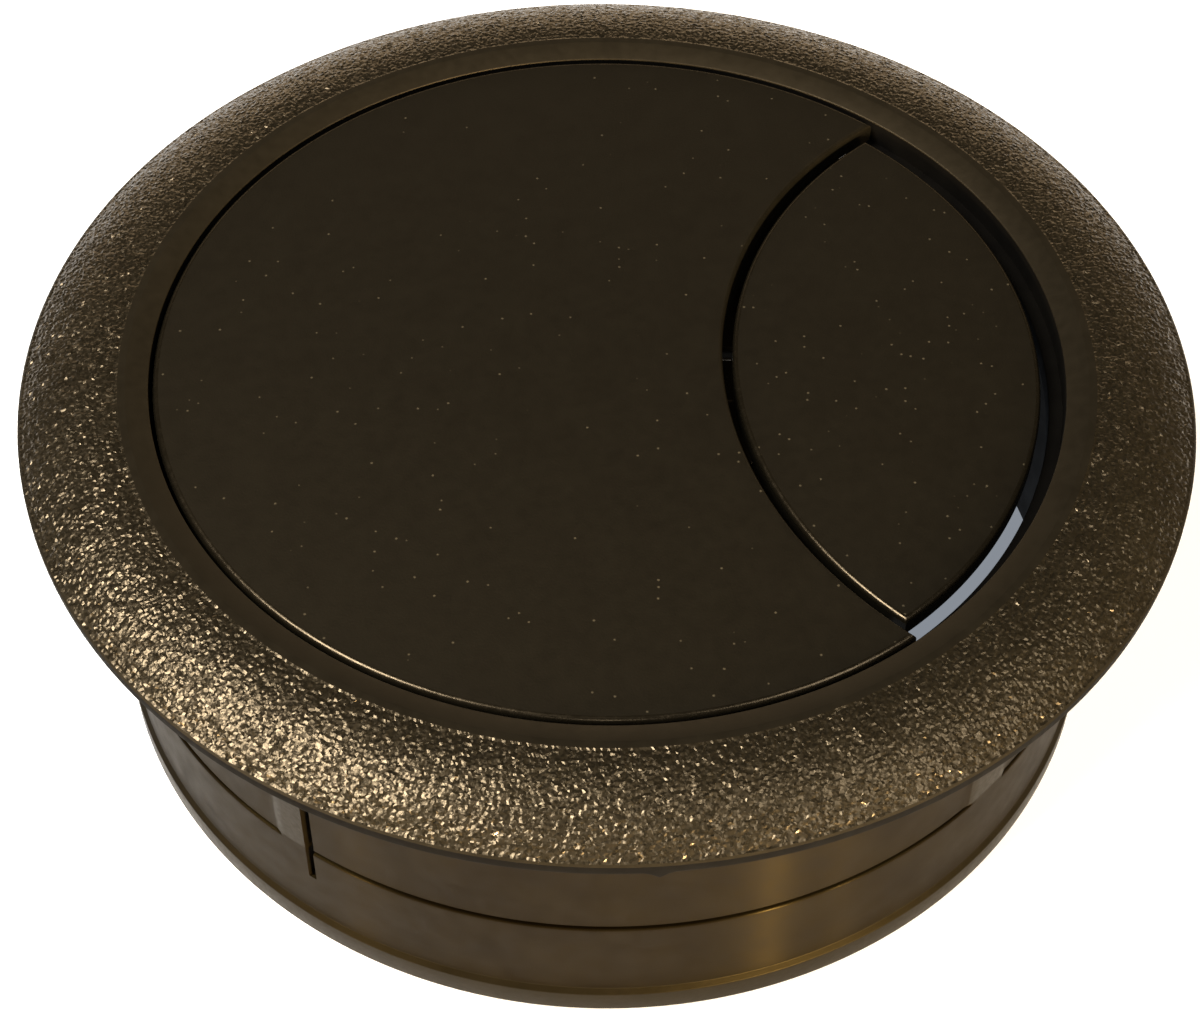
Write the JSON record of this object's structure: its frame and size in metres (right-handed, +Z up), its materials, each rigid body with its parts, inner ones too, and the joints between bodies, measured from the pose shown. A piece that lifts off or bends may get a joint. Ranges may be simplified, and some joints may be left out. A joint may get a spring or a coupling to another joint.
{
  "type": "desk grommet",
  "caption": "Round desk cable grommet: a flanged liner sleeve, a cap disc that turns in it, and a lens-shaped sprung flap that swings down to let cables through.",
  "frame": {"origin": "centre of the liner sleeve's lower end face", "axes": "+Z up along the sleeve, out of the desk top; +X from the centre towards the cable outlet at rest; the flap's hinge axis runs along Y"},
  "size_m": [0.09, 0.09, 0.0299],
  "materials": {
    "liner_plastic": "black moulded plastic, satin sleeve, sparkling grained flange",
    "cap_plastic": "black moulded plastic, fine matte texture",
    "spring_steel": "drawn wire"
  },
  "bodies": {
    "liner": {"liner": "liner_plastic"},
    "cap": {"cap_disc": "cap_plastic", "hinge_pin": "spring_steel", "torsion_spring": "spring_steel"},
    "flap": {"closing_flap": "cap_plastic"}
  },
  "joints": [
    {"name": "cap_turn", "type": "hinge", "parent": "liner", "child": "cap", "pos_m": [0, 0, 0.0276], "axis": [0, 0, 1], "continuous": true},
    {"name": "flap_swing", "type": "hinge", "parent": "cap", "child": "flap", "pos_m": [0.007, 0, 0.0255], "axis": [0, 1, 0], "range_deg": [0, 68], "stiffness_Nm_per_rad": 0.0055, "springref_deg": -28.65, "deforming": ["torsion_spring"]}
  ]
}
